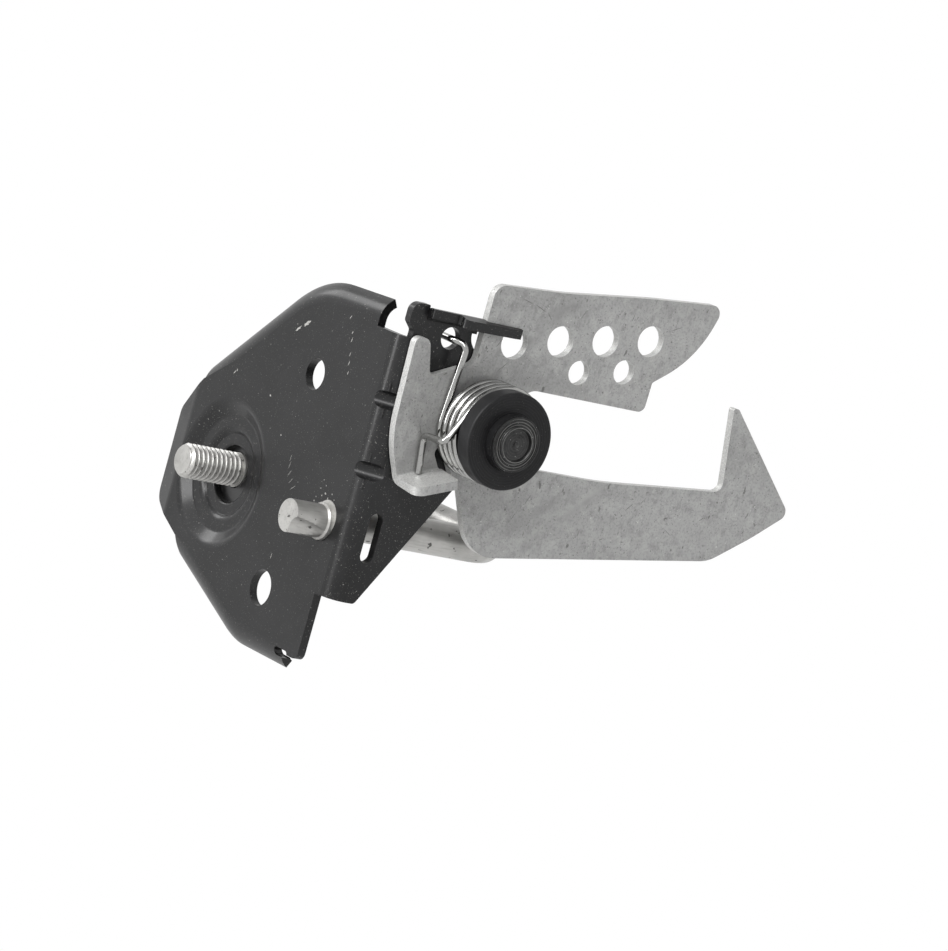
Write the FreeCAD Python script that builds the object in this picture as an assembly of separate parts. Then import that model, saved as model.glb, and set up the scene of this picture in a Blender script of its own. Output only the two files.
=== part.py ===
import FreeCAD, Part
import math
import os

# Bonnet latch: a pressed bracket that carries a U-shaped striker and a sprung safety hook.
# Frame in millimetres: the bracket's mounting face lies in the plane X = 0 and the vehicle's
# panel is on its -X side. The threaded stud runs along X through the origin. The hook swings
# in planes of constant Y, on the -Y side of the bracket. +Z is up.

# Sheet of the bracket and the hook plate
SHEET = 2.0
BEND_OUTER_R = 4.2
CORNER_BREAK_R = 0.4

# Bracket face, as (Y, Z)
TOP_Z = 50.1
TOP_LEFT_Z = 51.1
BOTTOM_Z = -35.8
FLANGE_Y = -55.4
RIM_BEND_R = 5.6
RIM_BEND_ANGLE = 60.0
RIM_END_TOP_Y = -45.0
RIM_END_BOTTOM_Y = -42.5
UPPER_SHOULDER_Y = -17.3
UPPER_SHOULDER_R = 32.0
UPPER_SIDE_LOW = (15.6, 22.0)
LOWER_SHOULDER_Y = -20.0
LOWER_SHOULDER_R = 22.0
LOWER_SIDE_HIGH = (8.5, -24.4)
PLAIN_BOTTOM_Z = -31.8
PLAIN_EDGE_Y = -49.2
PLAIN_CORNER_R = 1.8
BEND_FOOT_Z = -16.2
NOTCH_FLOOR_Z = 43.9
NOTCH_R = 2.6
RIM_RELIEF = (-44.2, -32.0)
RIM_RELIEF_R = 0.95
RIM_RELIEF_RUN = 3.6

# Ear beside the dish, where the rim is left off and the sheet leans back, as (Y, Z)
EAR_FOLD_Y = 16.9
EAR_FOLD_R = 6.0
EAR_LEAN = 12.0
EAR_TOP_START = (15.6, 17.0)
EAR_TOP_CORNER = (23.2, 8.4)
EAR_FOOT_CORNER = (23.0, -12.9)
EAR_FOOT_START = (10.2, -18.8)
EAR_STEP = (8.7, -22.0)
EAR_TOP_R = 3.0
EAR_FOOT_R = 4.0

# Dish round the stud
DISH_Y = -0.9
DISH_Z = -1.1
DISH_R = 16.6
DISH_FLOOR_R = 13.4
DISH_DEPTH = 1.9
DISH_RIM_R = 3.0
DISH_FOOT_R = 1.0
SEAT_R = 10.3
SEAT_FLOOR_R = 9.3
SEAT_STEP = 0.9
SEAT_RIM_R = 2.2
SEAT_FOOT_R = 0.2
SEAT_HOLE_R = 6.5
SEAT_LIP_R = 0.7
DISH_MARGIN = 1.4

# Mounting holes, as (Y, Z)
UPPER_HOLE = (-26.9, 28.4)
UPPER_HOLE_R = 3.6
LOWER_HOLE = (-28.5, -20.75)
LOWER_HOLE_R = 4.1

# Flange that carries the pivot, as (X, Z)
PIVOT_X = 23.2
PIVOT_Z = 27.9
PIVOT_EYE_R = 8.7
LOW_SIDE_ANGLE = 58.6
HIGH_SIDE_ANGLE = 134.3
FOOT_R = 1.2
TAB_EDGE_X = 17.7
TAB_FOOT_R = 4.0
TAB_LEFT_X = 0.6
TAB_TOP_Z = 51.9
TAB_LEFT_R = 2.2
TAB_LEFT_FOOT_Z = 47.4
TAB_NECK_X = 2.4
TAB_NECK_Z = 45.6
TAB_NECK_R = 1.0
FLANGE_FOOT_R = 0.6
WINDOW_X = 6.4
WINDOW_TOP_Z = 4.5
WINDOW_FOOT_Z = -6.8
WINDOW_WIDTH = 3.4
SPRING_HOLE_X = 12.45
SPRING_HOLE_Z = 45.6
SPRING_HOLE_R = 2.5

# Guide shelf bent off the flange's top, through the hook plate's notch
LIP_START_X = 5.0
LIP_DEPTH = 2.0
SHELF_FOOT_RUN = 1.6
SHELF_NOTCH_R = 0.6
SHELF_FRONT_R = 1.2
SHELF_START_X = 12.4
SHELF_BEND_R = 3.2
SHELF_CORNER_Z = 52.45
SHELF_FRONT_Y = -59.6
SHELF_FRONT_Z = 50.45
BAR_TIP_FRONT_Y = -58.95
BAR_TIP_LIFT = 0.5
BAR_END_X = 28.5
BAR_GAP = 0.3
STOP_GAP = 0.15

# Darts pressed into the bend
DART_HEIGHTS = (29.3, 13.2)
DART_R = 2.0
DART_FACE_RUN = 4.3
DART_FLANGE_RUN = 5.3
DART_OVERRUN = 2.0
DART_REACH = 9.0

# Hook plate, as (X, Z, corner radius)
HOOK_GAP = 0.3
HOOK_OUTLINE_TOP = [
    (1.95, 44.95, 1.7),
    (5.75, 44.75, 2.0),
    (8.05, 36.75, 1.3),
    (19.1, 41.6, 2.4),
    (19.1, 59.65, 3.0),
    (38.0, 60.9, 80.0),
    (62.0, 63.9, 80.0),
    (82.1, 65.7, 2.2),
    (78.0, 52.8, 26.0),
    (67.9, 45.4, 0.8),
    (67.8, 38.35, 1.8),
]
HOOK_OUTLINE_MOUTH = [
    (33.6, 38.3, 4.0),
    (33.6, 20.8, 4.0),
    (62.0, 21.0, 100.0),
    (95.9, 24.1, 2.0),
    (92.75, 43.5, 0.5),
    (94.2, 43.5, 0.6),
]
HOOK_OUTLINE_FOOT = [
    (116.7, 22.0, 2.0),
    (107.8, 14.95, 60.0),
    (97.5, 7.9, 10.0),
    (31.15, -1.25, 10.0),
    (23.6, 14.6, 2.0),
]
FINGER_SIDE = (2.7, 21.9, 25.0)
SLOT_WIDTH = 2.85
SLOT_TOP = (16.4, 20.6)
SLOT_FOOT = (22.0, 12.3)
HOLE_ROW = [(27.9, 47.6), (40.0, 50.15), (52.05, 52.3), (64.3, 54.4)]
HOLE_R = 3.55
SMALL_HOLE_ROW = [(47.2, 44.2), (59.3, 46.4)]
SMALL_HOLE_R = 2.78

# Lug folded towards -Y under the finger
LUG_START = (6.7, 13.85)
LUG_ANGLE = 18.5
LUG_TILT = 6.0
LUG_LENGTH = 11.2
LUG_DEPTH = 8.0
LUG_INNER_R = 0.6
LUG_FOLD_R = 0.55
LUG_CORNER_R = 2.4
LUG_END_R = 0.8

# Pivot: flanged bush on a tubular rivet
RIVET_R = 4.6
RIVET_BORE_R = 3.65
RIVET_BORE_DEPTH = 0.6
RIVET_CENTRE_R = 0.9
RIVET_CENTRE_DEPTH = 0.5
RIVET_TAIL_R = 7.2
RIVET_TAIL_THICK = 1.6
FLARE_R = 6.2
FLARE_HEIGHT = 0.3
FLARE_RINGS = (5.75, 5.3, 4.85)
RING_WIDTH = 0.2
RING_DEPTH = 0.15
LIP_R = 4.35
LIP_HEIGHT = 0.45
HUB_R = 6.45
HUB_HEIGHT = 2.25
TURNED_EDGE_R = 0.25
RUN = 0.05
SPIGOT_R = 6.4
BUSH_HEAD_R = 11.0
BUSH_HEAD_THICK = 4.4
BUSH_EDGE_R = 0.5
BUSH_BARREL_R = 8.5
BUSH_SIDE_GAP = 0.2

# Torsion spring
WIRE_R = 0.8
COIL_R = 10.6
COIL_PITCH = 2.1
COIL_TURNS = 4
COIL_SHIFT_X = 1.1
COIL_SHIFT_Z = 0.1
SPRING_SIDE_GAP = 0.1
UPPER_LEG_TOP_Z = 45.2
UPPER_LEG_END_Y = -52.4
UPPER_LEG_LEAN = 4.4
UPPER_LEG_ENTRY = 0.6
UPPER_LEG_BEND_R = 2.0
LOWER_LEG_KNEE = (10.1, 24.4)
LOWER_LEG_ELBOW = (10.2, 24.0)
LEG_BEND_R = 1.6
LEG_FOOT_RUN = 5.0
LEG_CONTACT_GAP = 0.05

# Striker: one round rod bent to a U
ROD_R = 4.0
STRIKER_WIDTH = 45.5
STRIKER_REACH = 47.9
STRIKER_BEND_R = 8.0
STUD_LENGTH = 10.2
STUD_CHAMFER = 0.8
STUD_NECK_R = 3.3
STUD_NECK_LENGTH = 1.2
STUD_NECK_GAP = 0.3
STUB_LENGTH = 9.3
STUB_R = 3.75
STUB_SHIFT_Y = 0.7
STUB_SHIFT_Z = -1.0
SCOOP_R = 3.4
SCOOP_END_REACH = 5.4
SCOOP_ROOT_REACH = 7.3
SCOOP_ANGLE = 222.0
STAKE_R = 4.2
STAKE_LENGTH = 1.2
STAKE_SEAT_GAP = 0.2
STAKE_SEAT_DEPTH = 0.3
SHOULDER_R = 5.4
SHOULDER_LENGTH = 1.6
COLLAR_CHAMFER = 0.4
WASHER_R = 9.0
WASHER_THICK = 1.6
WASHER_BORE_R = 4.2
NUT_ACROSS_FLATS = 13.0
NUT_HEIGHT = 6.5

# Places that follow from the sizes above
HOOK_BACK_Y = FLANGE_Y - HOOK_GAP
HOOK_FRONT_Y = HOOK_BACK_Y - SHEET
BUSH_BACK_Y = HOOK_FRONT_Y - BUSH_SIDE_GAP
COIL_START_Y = HOOK_FRONT_Y - SPRING_SIDE_GAP - WIRE_R
COIL_X = PIVOT_X + COIL_SHIFT_X
COIL_Z = PIVOT_Z + COIL_SHIFT_Z
COIL_ENTER_ANGLE = 180.0 - UPPER_LEG_LEAN
KNEE_REACH = math.hypot(LOWER_LEG_KNEE[0] - COIL_X, LOWER_LEG_KNEE[1] - COIL_Z)
KNEE_ANGLE = 360.0 + math.degrees(math.atan2(LOWER_LEG_KNEE[1] - COIL_Z, LOWER_LEG_KNEE[0] - COIL_X))
COIL_LEAVE_ANGLE = KNEE_ANGLE - math.degrees(math.acos(COIL_R / KNEE_REACH))
COIL_SWEEP = 360.0 * COIL_TURNS + COIL_LEAVE_ANGLE - COIL_ENTER_ANGLE
COIL_END_Y = COIL_START_Y - COIL_PITCH * COIL_SWEEP / 360.0
HEAD_BACK_Y = COIL_END_Y - WIRE_R - SPRING_SIDE_GAP
BUSH_FRONT_Y = HEAD_BACK_Y - BUSH_HEAD_THICK
HUB_FRONT_Y = BUSH_FRONT_Y - HUB_HEIGHT
FLARE_FRONT_Y = HUB_FRONT_Y - FLARE_HEIGHT
LIP_FRONT_Y = FLARE_FRONT_Y - LIP_HEIGHT
SEAT_BACK_X = DISH_DEPTH + SEAT_STEP + SHEET
STUD_NECK_END_X = SEAT_BACK_X - STUD_NECK_GAP
RIM_DEPTH = RIM_BEND_R
SHELF_END_X = HOOK_OUTLINE_TOP[3][0] - STOP_GAP
FAR = 120.0
CUT = 1.0

X_AXIS = FreeCAD.Vector(1, 0, 0)
Y_AXIS = FreeCAD.Vector(0, 1, 0)
Z_AXIS = FreeCAD.Vector(0, 0, 1)


def on_face(y, z, x=0.0):
    """Point of a plane of constant X."""
    return FreeCAD.Vector(x, y, z)


def on_flange(x, z, y=0.0):
    """Point of a plane of constant Y."""
    return FreeCAD.Vector(x, y, z)


def in_plan(x, y, z=0.0):
    """Point of a level plane."""
    return FreeCAD.Vector(x, y, z)


def rounded_wire(corners, place):
    """Closed wire through corners (u, v, radius), each corner rounded by its radius."""
    points = [place(corner[0], corner[1]) for corner in corners]
    count = len(corners)
    joints = []
    for i, corner in enumerate(corners):
        here = points[i]
        radius = corner[2]
        if radius <= 0:
            joints.append((here, None, here))
            continue
        before = (points[i - 1] - here).normalize()
        after = (points[(i + 1) % count] - here).normalize()
        half = before.getAngle(after) / 2
        back = radius / math.tan(half)
        middle = (before + after).normalize()
        centre = here + middle * (radius / math.sin(half))
        joints.append((here + before * back, centre - middle * radius, here + after * back))
    edges = []
    for i, (start, middle, end) in enumerate(joints):
        if middle is not None:
            edges.append(Part.Arc(start, middle, end).toShape())
        following = joints[(i + 1) % count][0]
        if end.distanceToPoint(following) > 1e-6:
            edges.append(Part.LineSegment(end, following).toShape())
    return Part.Wire(edges)


def slab(corners, place, shift):
    """Solid of a rounded outline, extruded by a vector."""
    return Part.Face(rounded_wire(corners, place)).extrude(shift)


def slab_x(corners, start, end):
    """Solid of a (Y, Z) outline between two X places."""
    return slab(corners, lambda y, z: on_face(y, z, start), X_AXIS * (end - start))


def slab_y(corners, start, end):
    """Solid of an (X, Z) outline between two Y places."""
    return slab(corners, lambda x, z: on_flange(x, z, start), Y_AXIS * (end - start))


def slab_z(corners, start, end):
    """Solid of an (X, Y) outline between two Z places."""
    return slab(corners, lambda x, y: in_plan(x, y, start), Z_AXIS * (end - start))


def rod(point, axis, radius, length):
    """Round bar from a point along an axis."""
    return Part.makeCylinder(radius, length, point, axis)


def box(low, high):
    """Box between two corners."""
    size = high - low
    return Part.makeBox(size.x, size.y, size.z, low)


def strip(path, thickness):
    """Corners of a strip of even thickness on the left of an open path (u, v, radius)."""
    count = len(path)
    shifted = []
    for i, (u, v, radius) in enumerate(path):
        turns = []
        for a, b in ((i - 1, i), (i, i + 1)):
            if a < 0 or b >= count:
                continue
            du = path[b][0] - path[a][0]
            dv = path[b][1] - path[a][1]
            length = math.hypot(du, dv)
            turns.append((du / length, dv / length))
        nu = sum(-turn[1] for turn in turns)
        nv = sum(turn[0] for turn in turns)
        scale = thickness * len(turns) / (nu * nu + nv * nv)
        inner = radius
        if len(turns) == 2 and radius > 0:
            left = turns[0][0] * turns[1][1] - turns[0][1] * turns[1][0] > 0
            inner = radius - thickness if left else radius + thickness
        shifted.append((u + nu * scale, v + nv * scale, inner))
    return list(path) + shifted[::-1]


def slot(start, end, width):
    """Corners of a round-ended slot between two (u, v) centres."""
    half = width / 2
    du = end[0] - start[0]
    dv = end[1] - start[1]
    length = math.hypot(du, dv)
    au, av = du / length * half, dv / length * half
    tight = half * 0.999
    return [
        (start[0] - au - av, start[1] - av + au, tight),
        (end[0] + au - av, end[1] + av + au, tight),
        (end[0] + au + av, end[1] + av - au, tight),
        (start[0] - au + av, start[1] - av - au, tight),
    ]


def edges_at_x(shape, place):
    """Edges of a shape that lie wholly in one X plane."""
    found = []
    for edge in shape.Edges:
        bounds = edge.BoundBox
        if abs(bounds.XMin - place) < 1e-4 and abs(bounds.XMax - place) < 1e-4:
            found.append(edge)
    return found


def line_point(first, second, y):
    """Z of the straight line through two (Y, Z) points at another Y."""
    share = (y - first[0]) / (second[0] - first[0])
    return first[1] + share * (second[1] - first[1])


def face_outline():
    """Outline of the face before its rim is bent, as a flat face in the plane X = 0."""
    upper = (UPPER_SHOULDER_Y, TOP_Z)
    lower = (LOWER_SHOULDER_Y, BOTTOM_Z)
    left = EAR_FOOT_CORNER[0]
    outline = [
        (-FAR, line_point((RIM_END_TOP_Y, TOP_LEFT_Z), upper, -FAR), 0),
        upper + (UPPER_SHOULDER_R,),
        (left, line_point(upper, UPPER_SIDE_LOW, left), 0),
        (left, line_point(lower, LOWER_SIDE_HIGH, left), 0),
        lower + (LOWER_SHOULDER_R,),
        (-FAR, BOTTOM_Z, 0),
    ]
    return Part.Face(rounded_wire(outline, on_face))


def rim_end(outline):
    """Solid whose slanted side ends the rim square to its bent sheet."""
    inner = outline.makeOffset2D(-RIM_BEND_R)
    inner.translate(X_AXIS * RIM_DEPTH)
    spread = (RIM_DEPTH + CUT) * math.tan(math.radians(RIM_BEND_ANGLE))
    wide = outline.makeOffset2D(spread - RIM_BEND_R, 2)
    wide.translate(X_AXIS * -CUT)
    return Part.makeLoft([inner.OuterWire, wide.OuterWire], True, True)


def pressed_rim():
    """Face sheet with its rim bent back along top, sides and bottom."""
    outer_face = face_outline()
    inner_face = outer_face.makeOffset2D(-SHEET)
    inner_face.translate(X_AXIS * SHEET)
    depth = RIM_BEND_R + CUT
    outer = outer_face.extrude(X_AXIS * depth)
    inner = inner_face.extrude(X_AXIS * depth)
    outer = outer.makeFillet(RIM_BEND_R, edges_at_x(outer, 0.0))
    inner = inner.makeFillet(RIM_BEND_R - SHEET, edges_at_x(inner, SHEET))
    kept = [
        (RIM_END_TOP_Y, FAR, 0),
        (EAR_TOP_START[0], FAR, 0),
        (EAR_TOP_START[0], 0, 0),
        EAR_FOOT_START + (0,),
        EAR_STEP + (0,),
        (EAR_STEP[0], -FAR, 0),
        (RIM_END_BOTTOM_Y, -FAR, 0),
        (RIM_END_BOTTOM_Y, 0, 0),
        (RIM_END_TOP_Y, 0, 0),
    ]
    shell = outer.cut(inner).common(slab_x(kept, -CUT, RIM_DEPTH))
    return shell.common(rim_end(outer_face))


def plain_sheet():
    """Face, ear, bend and root of the flange as one bent strip, trimmed to its outline."""
    ear_run = EAR_FOOT_CORNER[0] - EAR_FOLD_Y + CUT
    lean = ear_run * math.tan(math.radians(EAR_LEAN))
    path = [
        (lean, EAR_FOLD_Y + ear_run, 0),
        (0.0, EAR_FOLD_Y, EAR_FOLD_R),
        (0.0, FLANGE_Y, BEND_OUTER_R),
        (BEND_OUTER_R + CUT, FLANGE_Y, 0),
    ]
    sheet = slab_z(strip(path, SHEET), -FAR, FAR)
    outline = [
        (-FAR, NOTCH_FLOOR_Z, 0),
        (RIM_END_TOP_Y + CUT, NOTCH_FLOOR_Z, 0),
        (UPPER_SHOULDER_Y, NOTCH_FLOOR_Z - RIM_BEND_R, 0),
        EAR_TOP_START + (0,),
        EAR_TOP_CORNER + (EAR_TOP_R,),
        EAR_FOOT_CORNER + (EAR_FOOT_R,),
        EAR_FOOT_START + (0,),
        (LOWER_SHOULDER_Y, BOTTOM_Z + 2 * RIM_BEND_R, 0),
        (RIM_END_BOTTOM_Y, BOTTOM_Z + 2 * RIM_BEND_R, 0),
        (RIM_END_BOTTOM_Y, PLAIN_BOTTOM_Z, 0),
        (PLAIN_EDGE_Y, PLAIN_BOTTOM_Z, PLAIN_CORNER_R),
        (PLAIN_EDGE_Y, BEND_FOOT_Z, FLANGE_FOOT_R),
        (-FAR, BEND_FOOT_Z, 0),
    ]
    return sheet.common(slab_x(outline, -CUT, FAR))


def flange_plate():
    """Flat plate that carries the pivot, with the tab above it."""
    low = math.radians(LOW_SIDE_ANGLE)
    high = math.radians(HIGH_SIDE_ANGLE)
    low_u, low_v = math.sin(low), -math.cos(low)
    high_u, high_v = math.sin(high), -math.cos(high)
    reach = PIVOT_EYE_R / (1 + low_u * high_u + low_v * high_v)
    eye = (PIVOT_X + reach * (low_u + high_u), PIVOT_Z + reach * (low_v + high_v))
    foot_x = eye[0] + (BEND_FOOT_Z - eye[1]) / math.tan(low)
    tab_foot_z = eye[1] + (TAB_EDGE_X - eye[0]) * math.tan(high)
    corners = [
        (BEND_OUTER_R, BEND_FOOT_Z, 0),
        (foot_x, BEND_FOOT_Z, FOOT_R),
        eye + (PIVOT_EYE_R,),
        (TAB_EDGE_X, tab_foot_z, TAB_FOOT_R),
        (TAB_EDGE_X, SHELF_CORNER_Z - SHELF_BEND_R - CUT, 0),
        (LIP_START_X, SHELF_CORNER_Z - SHELF_BEND_R - CUT, 0),
        (LIP_START_X, TAB_TOP_Z, CORNER_BREAK_R),
        (TAB_LEFT_X, TAB_TOP_Z, TAB_LEFT_R),
        (TAB_LEFT_X, TAB_LEFT_FOOT_Z, TAB_NECK_R),
        (TAB_NECK_X, TAB_NECK_Z, TAB_NECK_R),
        (TAB_NECK_X, NOTCH_FLOOR_Z, 0),
        (BEND_OUTER_R, NOTCH_FLOOR_Z, 0),
    ]
    return slab_y(corners, FLANGE_Y, FLANGE_Y + SHEET)


def guide_shelf():
    """Lip, web and retaining bar bent forward off the flange's top."""
    back = FLANGE_Y + SHEET
    path = [
        (back, SHELF_CORNER_Z - SHELF_BEND_R - SHELF_FOOT_RUN, 0),
        (back, SHELF_CORNER_Z, SHELF_BEND_R),
        (SHELF_FRONT_Y - CUT, SHELF_FRONT_Z, 0),
    ]
    start = LIP_START_X
    sheet = slab(strip(path, SHEET), lambda y, z: on_face(y, z, start), X_AXIS * (BAR_END_X - start))
    bar_back = HOOK_FRONT_Y - BAR_GAP
    lip_front = FLANGE_Y - LIP_DEPTH
    plan = [
        (LIP_START_X, back, 0),
        (LIP_START_X, lip_front, CORNER_BREAK_R),
        (SHELF_START_X, lip_front, SHELF_NOTCH_R),
        (SHELF_START_X, SHELF_FRONT_Y, SHELF_FRONT_R),
        (BAR_END_X, BAR_TIP_FRONT_Y, CORNER_BREAK_R),
        (BAR_END_X, bar_back, CORNER_BREAK_R),
        (SHELF_END_X, bar_back, SHELF_NOTCH_R),
        (SHELF_END_X, back, 0),
    ]
    under_z = SHELF_FRONT_Z - SHEET
    under = [
        (SHELF_END_X, under_z, 0),
        (BAR_END_X + CUT, under_z + BAR_TIP_LIFT, 0),
        (BAR_END_X + CUT, under_z - SHEET, 0),
        (SHELF_END_X, under_z - SHEET, 0),
    ]
    return sheet.common(slab_z(plan, 0, FAR)).cut(slab_y(under, SHELF_FRONT_Y - CUT, bar_back + CUT))


def darted(shape, height):
    """Round-bottomed dart pressed across the bend, with its ridge on the inside."""
    start = FreeCAD.Vector(0, FLANGE_Y + DART_FACE_RUN, height)
    end = FreeCAD.Vector(DART_FLANGE_RUN, FLANGE_Y, height)
    along = (end - start).normalize()
    outward = FreeCAD.Vector(along.y, -along.x, 0)
    if outward.x > 0:
        outward = outward * -1
    axis_start = start + outward * DART_R - along * DART_OVERRUN
    length = (end - start).Length + 2 * DART_OVERRUN
    groove = rod(axis_start, along, DART_R, length)
    ridge = rod(axis_start, along, DART_R + SHEET, length)
    corner = box(
        FreeCAD.Vector(CUT, FLANGE_Y + CUT, height - 2 * SHEET),
        FreeCAD.Vector(CUT + DART_REACH, FLANGE_Y + DART_REACH, height + 2 * SHEET),
    )
    return shape.fuse(ridge.common(corner)).cut(groove)


def dish():
    """Round dish with a second step round the stud's hole."""
    path = [
        (0.0, DISH_R + DISH_MARGIN, 0),
        (0.0, DISH_R, DISH_RIM_R),
        (DISH_DEPTH, DISH_FLOOR_R, DISH_FOOT_R),
        (DISH_DEPTH, SEAT_R, SEAT_RIM_R),
        (DISH_DEPTH + SEAT_STEP, SEAT_FLOOR_R, SEAT_FOOT_R),
        (DISH_DEPTH + SEAT_STEP, SEAT_HOLE_R, 0),
    ]
    wire = rounded_wire(strip(path, SHEET), lambda x, r: FreeCAD.Vector(x, DISH_Y, DISH_Z + r))
    shape = Part.Face(wire).revolve(FreeCAD.Vector(0, DISH_Y, DISH_Z), X_AXIS, 360)
    lip = []
    for edge in edges_at_x(shape, DISH_DEPTH + SEAT_STEP):
        if edge.BoundBox.ZLength < SEAT_HOLE_R + SEAT_FLOOR_R and edge.Length > SEAT_HOLE_R:
            lip.append(edge)
    return shape.makeFillet(SEAT_LIP_R, lip)


def make_bracket():
    body = plain_sheet().fuse(pressed_rim())
    notch = [
        (-FAR, NOTCH_FLOOR_Z, 0),
        (RIM_END_TOP_Y, NOTCH_FLOOR_Z, NOTCH_R),
        (RIM_END_TOP_Y, FAR, 0),
        (-FAR, FAR, 0),
    ]
    body = body.cut(slab_x(notch, -CUT, FAR))
    relief = slot(RIM_RELIEF, (RIM_RELIEF[0] + RIM_RELIEF_RUN, RIM_RELIEF[1]), 2 * RIM_RELIEF_R)
    body = body.cut(slab_x(relief, -CUT, SHEET + CUT))
    dish_middle = on_face(DISH_Y, DISH_Z, -CUT)
    body = body.cut(rod(dish_middle, X_AXIS, DISH_R + DISH_MARGIN, RIM_DEPTH + CUT))
    body = body.fuse([flange_plate(), guide_shelf(), dish()]).removeSplitter()
    for height in DART_HEIGHTS:
        body = darted(body, height)
    stake_seat = on_face(STUB_SHIFT_Y - STRIKER_WIDTH, STUB_SHIFT_Z, -CUT)
    holes = [
        rod(on_face(UPPER_HOLE[0], UPPER_HOLE[1], -CUT), X_AXIS, UPPER_HOLE_R, SHEET + 2 * CUT),
        rod(on_face(LOWER_HOLE[0], LOWER_HOLE[1], -CUT), X_AXIS, LOWER_HOLE_R, SHEET + 2 * CUT),
        rod(on_face(-STRIKER_WIDTH, 0, -CUT), X_AXIS, ROD_R + RUN, SHEET + 2 * CUT),
        rod(stake_seat, X_AXIS, STAKE_R + STAKE_SEAT_GAP, STAKE_SEAT_DEPTH + CUT),
        rod(on_flange(PIVOT_X, PIVOT_Z, FLANGE_Y - CUT), Y_AXIS, RIVET_R + RUN, SHEET + 2 * CUT),
        rod(on_flange(SPRING_HOLE_X, SPRING_HOLE_Z, FLANGE_Y - CUT), Y_AXIS, SPRING_HOLE_R, SHEET + 2 * CUT),
    ]
    half = WINDOW_WIDTH / 2
    window = slot((WINDOW_X, WINDOW_FOOT_Z + half), (WINDOW_X, WINDOW_TOP_Z - half), WINDOW_WIDTH)
    holes.append(slab_y(window, FLANGE_Y - CUT, FLANGE_Y + SHEET + CUT))
    return body.cut(holes).removeSplitter()


def make_striker():
    leg_y = -STRIKER_WIDTH
    turn = STRIKER_BEND_R
    far_x = STRIKER_REACH
    step = turn * math.sqrt(0.5)
    stud_start = FreeCAD.Vector(-STUD_LENGTH, 0, 0)
    first_bend = FreeCAD.Vector(far_x - turn, 0, 0)
    first_middle = FreeCAD.Vector(far_x - turn + step, -turn + step, 0)
    first_end = FreeCAD.Vector(far_x, -turn, 0)
    second_bend = FreeCAD.Vector(far_x, leg_y + turn, 0)
    second_middle = FreeCAD.Vector(far_x - turn + step, leg_y + turn - step, 0)
    second_end = FreeCAD.Vector(far_x - turn, leg_y, 0)
    leg_end = FreeCAD.Vector(0, leg_y, 0)
    spine = Part.Wire([
        Part.LineSegment(stud_start, first_bend).toShape(),
        Part.Arc(first_bend, first_middle, first_end).toShape(),
        Part.LineSegment(first_end, second_bend).toShape(),
        Part.Arc(second_bend, second_middle, second_end).toShape(),
        Part.LineSegment(second_end, leg_end).toShape(),
    ])
    profile = Part.Wire([Part.makeCircle(ROD_R, stud_start, X_AXIS)])
    body = spine.makePipeShell([profile], True, True)
    body = body.makeChamfer(STUD_CHAMFER, edges_at_x(body, -STUD_LENGTH))
    stub_y = leg_y + STUB_SHIFT_Y
    stub = rod(on_face(stub_y, STUB_SHIFT_Z, -STUB_LENGTH), X_AXIS, STUB_R, STUB_LENGTH)
    stake_start = on_face(stub_y, STUB_SHIFT_Z, -STAKE_LENGTH)
    stake = rod(stake_start, X_AXIS, STAKE_R, STAKE_LENGTH + STAKE_SEAT_DEPTH)
    stake = stake.makeChamfer(COLLAR_CHAMFER, edges_at_x(stake, -STAKE_LENGTH))
    collar = rod(on_face(leg_y, 0, SHEET), X_AXIS, SHOULDER_R, SHOULDER_LENGTH)
    collar = collar.makeChamfer(COLLAR_CHAMFER, edges_at_x(collar, SHEET + SHOULDER_LENGTH))
    body = body.fuse([stub, stake, collar])
    return body.cut([stub_scoop(), stud_neck()]).removeSplitter()


def stub_scoop():
    """Round cutter that leaves a shallow hollow on one side of the stub."""
    angle = math.radians(SCOOP_ANGLE)
    side = FreeCAD.Vector(0, math.cos(angle), math.sin(angle))
    middle = on_face(-STRIKER_WIDTH, 0, 0)
    end = middle - X_AXIS * STUB_LENGTH + side * SCOOP_END_REACH
    root = middle + side * SCOOP_ROOT_REACH
    along = (root - end).normalize()
    return rod(end - along * ROD_R, along, SCOOP_R, (root - end).Length + ROD_R)


def stud_neck():
    """Ring cutter for the thread's relief ahead of the washer."""
    start = on_face(0, 0, STUD_NECK_END_X - STUD_NECK_LENGTH)
    ring = rod(start, X_AXIS, ROD_R + CUT, STUD_NECK_LENGTH)
    return ring.cut(rod(start, X_AXIS, STUD_NECK_R, STUD_NECK_LENGTH))


def make_striker_washer():
    start = on_face(0, 0, SEAT_BACK_X)
    washer = rod(start, X_AXIS, WASHER_R, WASHER_THICK)
    return washer.cut(rod(start - X_AXIS, X_AXIS, WASHER_BORE_R, WASHER_THICK + 2))


def make_striker_nut():
    start_x = SEAT_BACK_X + WASHER_THICK
    corner_r = NUT_ACROSS_FLATS / math.sqrt(3)
    corners = []
    for i in range(6):
        angle = math.radians(60 * i)
        corners.append((corner_r * math.sin(angle), corner_r * math.cos(angle), 0))
    nut = slab_x(corners, start_x, start_x + NUT_HEIGHT)
    nut = nut.cut(rod(on_face(0, 0, start_x - CUT), X_AXIS, ROD_R + RUN, NUT_HEIGHT + 2 * CUT))
    slope = math.tan(math.radians(30))
    cone_r = corner_r + CUT
    rise = cone_r * slope
    apex_x = start_x + NUT_HEIGHT + NUT_ACROSS_FLATS / 2 * slope
    cone = Part.makeCone(cone_r, 0, rise, on_face(0, 0, apex_x - rise), X_AXIS)
    base = rod(on_face(0, 0, start_x), X_AXIS, cone_r, apex_x - rise - start_x)
    return nut.common(base.fuse(cone))


def lug_point(along, up, y):
    """Point by the distance along the lug's fold, the height above its surface, and Y."""
    angle = math.radians(LUG_ANGLE)
    x = LUG_START[0] + along * math.cos(angle) - up * math.sin(angle)
    z = LUG_START[1] + along * math.sin(angle) + up * math.cos(angle)
    return FreeCAD.Vector(x, y, z)


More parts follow.
